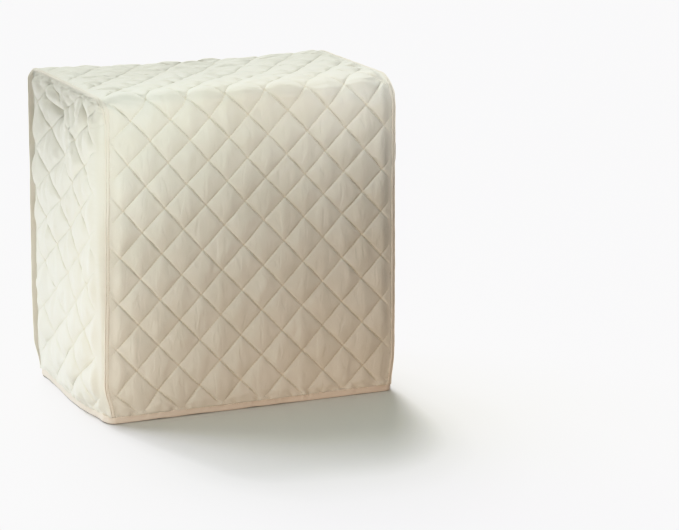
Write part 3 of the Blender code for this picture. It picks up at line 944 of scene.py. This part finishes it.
def fine_creases(nodes, links, cloth):
    """Bump of the small creases between the stitch lines: upright, but lying across on the top."""
    both = add_node(nodes, "ShaderNodeMath", operation="ADD")
    links.new(crease_pattern(nodes, links, cloth, CREASES_UPRIGHT, "creased"), both.inputs[0])
    links.new(crease_pattern(nodes, links, cloth, CREASES_LYING, "creased_across"), both.inputs[1])
    creases = add_node(nodes, "ShaderNodeBump", {"Strength": 0.8, "Distance": CREASE_HEIGHT})
    links.new(both.outputs[0], creases.inputs["Height"])
    return creases.outputs["Normal"]


def two_tones(nodes, first, second):
    """A ramp from one (place, colour) to another."""
    ramp = nodes.new("ShaderNodeValToRGB")
    for element, (position, colour) in zip(ramp.color_ramp.elements, (first, second)):
        element.position, element.color = position, (*colour, 1.0)
    return ramp


def woven_cotton(name, colour, shade, roughness, sheen, quilted):
    """Plain-woven cotton: threads both ways in the bump, with faint slubs and a slow change of colour."""
    material, nodes, links, surface = new_material(name, colour, roughness, sheen)
    cloth = add_node(nodes, "ShaderNodeUVMap", uv_map="cloth")
    place = nodes.new("ShaderNodeTexCoord")
    weave = add_node(nodes, "ShaderNodeMath", operation="MULTIPLY")
    threads = {"Scale": THREADS_TO_A_METRE, "Distortion": 0.6, "Detail Scale": 1.5}
    for number, way in enumerate("XY"):
        wave = add_node(nodes, "ShaderNodeTexWave", threads, wave_type="BANDS", bands_direction=way)
        links.new(cloth.outputs["UV"], wave.inputs["Vector"])
        links.new(wave.outputs["Fac"], weave.inputs[number])
    slubs = add_node(nodes, "ShaderNodeTexNoise", {"Scale": 900.0, "Detail": 3.0})
    bump_weave = add_node(nodes, "ShaderNodeBump", {"Strength": 0.35, "Distance": 0.00012})
    bump_slubs = add_node(nodes, "ShaderNodeBump", {"Strength": 0.30, "Distance": 0.00018})
    cloud = add_node(nodes, "ShaderNodeTexNoise", {"Scale": 22.0, "Detail": 2.0})
    # The colour and the darker tone change at random over the cloth, by a cloud of noise
    tones = two_tones(nodes, (0.30, shade), (0.70, colour))
    links.new(place.outputs["Object"], slubs.inputs["Vector"])
    links.new(place.outputs["Object"], cloud.inputs["Vector"])
    links.new(weave.outputs[0], bump_weave.inputs["Height"])
    links.new(slubs.outputs["Fac"], bump_slubs.inputs["Height"])
    links.new(bump_weave.outputs["Normal"], bump_slubs.inputs["Normal"])
    links.new(bump_slubs.outputs["Normal"], surface.inputs["Normal"])
    links.new(cloud.outputs["Fac"], tones.inputs["Fac"])
    if not quilted:
        links.new(tones.outputs["Color"], surface.inputs["Base Color"])
        return material
    # Painted shade in the stitch valleys: where the loft attribute is low, beside a stitch line, the colour is
    # darkened and warmed
    loft = add_node(nodes, "ShaderNodeAttribute", attribute_name="loft")
    painted_valley_shade = two_tones(nodes, (0.01, VALLEY_PAINTED_SHADE), (0.075, (1.0, 1.0, 1.0)))
    darken = add_node(nodes, "ShaderNodeMix", {"Factor": 1.0}, data_type="RGBA", blend_type="MULTIPLY")
    links.new(fine_creases(nodes, links, cloth), bump_weave.inputs["Normal"])
    links.new(loft.outputs["Fac"], painted_valley_shade.inputs["Fac"])
    links.new(tones.outputs["Color"], darken.inputs["A"])
    links.new(painted_valley_shade.outputs["Color"], darken.inputs["B"])
    links.new(darken.outputs["Result"], surface.inputs["Base Color"])
    return material


# Stage


def make_stage():
    """A near-white floor under a dim grey surround."""
    mesh = bpy.data.meshes.new("studio_floor")
    corners = [(FLOOR_REACH * x, FLOOR_REACH * y, FLOOR_HEIGHT) for x, y in ((-1, -1), (1, -1), (1, 1), (-1, 1))]
    mesh.from_pydata(corners, [], [(0, 1, 2, 3)])
    material, *_ = new_material("studio_floor", FLOOR_COLOUR, 0.9, 0.0, 0.0)
    floor = add_object("studio_floor", mesh, material)
    floor.visible_diffuse = False
    floor.visible_shadow = False
    world = bpy.data.worlds.new("studio")
    world.use_nodes = True
    world.node_tree.nodes["Background"].inputs["Color"].default_value = (*WORLD_COLOUR, 1.0)
    bpy.context.scene.world = world
    return floor


def light_stage(floor, pieces):
    """The lamps, each of which lights either the cover or the floor."""
    lit_cover, lit_floor = bpy.data.collections.new("lit_cover"), bpy.data.collections.new("lit_floor")
    lit_floor.objects.link(floor)
    for piece in pieces:
        lit_cover.objects.link(piece)
    groups = ((lit_cover, "SUN", COVER_SUNS), (lit_cover, "AREA", COVER_LAMPS), (lit_floor, "SUN", FLOOR_SUNS))
    for lit, kind, lamps in groups:
        for name, (place, aim, size, power, colour) in lamps.items():
            data = bpy.data.lights.new(name, kind)
            if kind == "SUN":
                data.angle = math.radians(size)
            else:
                data.shape, data.size = "DISK", size
            data.energy, data.color = power, colour
            light = add_object(name, data)
            light.location = place
            light.rotation_euler = (Vector(aim) - Vector(place)).to_track_quat("-Z", "Y").to_euler()
            light.light_linking.receiver_collection = lit
            light.visible_camera = False


def make_camera():
    data = bpy.data.cameras.new("photo_view")
    data.sensor_width = SENSOR_WIDTH
    data.sensor_fit = "HORIZONTAL"
    data.lens = FOCAL_PX / PHOTO_WIDTH_PX * SENSOR_WIDTH
    data.clip_end = 100.0
    camera = add_object("photo_view", data)
    camera.location = CAMERA_PLACE
    camera.rotation_euler = (math.radians(90.0 - CAMERA_PITCH), 0.0, math.radians(CAMERA_HEADING))
    bpy.context.scene.camera = camera
    bpy.context.scene.view_settings.view_transform = "Khronos PBR Neutral"


def finish_piece(piece, slot, *nodes):
    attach(piece, "root")
    if nodes:
        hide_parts(*nodes)
    return piece


def main():
    make_camera()
    floor = make_stage()
    quilted = woven_cotton("quilted_cotton", *QUILTED_COTTON, quilted=True)
    tape = woven_cotton("seam_tape", *SEAM_TAPE, quilted=False)
    hem_tape = woven_cotton("hem_tape", *HEM_TAPE, quilted=False)
    thread, *_ = new_material("sewing_thread", *SEWING_THREAD)
    tree = stitch_tree(thread)

    left_edge, right_edge = (LEFT_CORNER_RADIUS, left_seam_offset), (RIGHT_CORNER_RADIUS, right_seam_offset)
    left = end_panel("end_panel_left", -1, *left_edge, LEFT_FOLDS, LEFT_PLAIN_EDGES, 200)
    right = end_panel("end_panel_right", 1, *right_edge, RIGHT_FOLDS, RIGHT_PLAIN_EDGES, 300)
    cloths = []
    for panel in (strip_panel(), left, right):
        cloth = finish_piece(panel.build(quilted), "quilted_cloth", panel.node)
        stitches = sew(panel.node + "_quilting", panel.stitch_lines(), tree, QUILTING_STITCH)
        finish_piece(stitches, "quilted_cloth")
        cloths.append((panel, cloth, [stitches]))

    sides = (("seam_binding_left", -1, *left_edge, 400), ("seam_binding_right", 1, *right_edge, 500))
    for number, (node, *shape) in enumerate(sides, 1):
        binding, row = seam_binding(node + "_tape", *shape, tape)
        finish_piece(binding, "binding_tape", node)
        stitches = finish_piece(sew(node + "_stitches", [row], tree, BINDING_STITCH), "binding_tape")
        cloths[number][2].extend([binding, stitches])

    hem, row = hem_binding(hem_tape)
    finish_piece(hem, "hem_tape", "hem_binding")
    stitches = sew("hem_stitches", [np.concatenate([row, row[:1]])], tree, BINDING_STITCH)
    finish_piece(stitches, "hem_tape")
    cloths[0][2].extend([hem, stitches])

    pieces = [piece for _, cloth, with_pieces in cloths for piece in (cloth, *with_pieces)]
    light_stage(floor, pieces)


main()
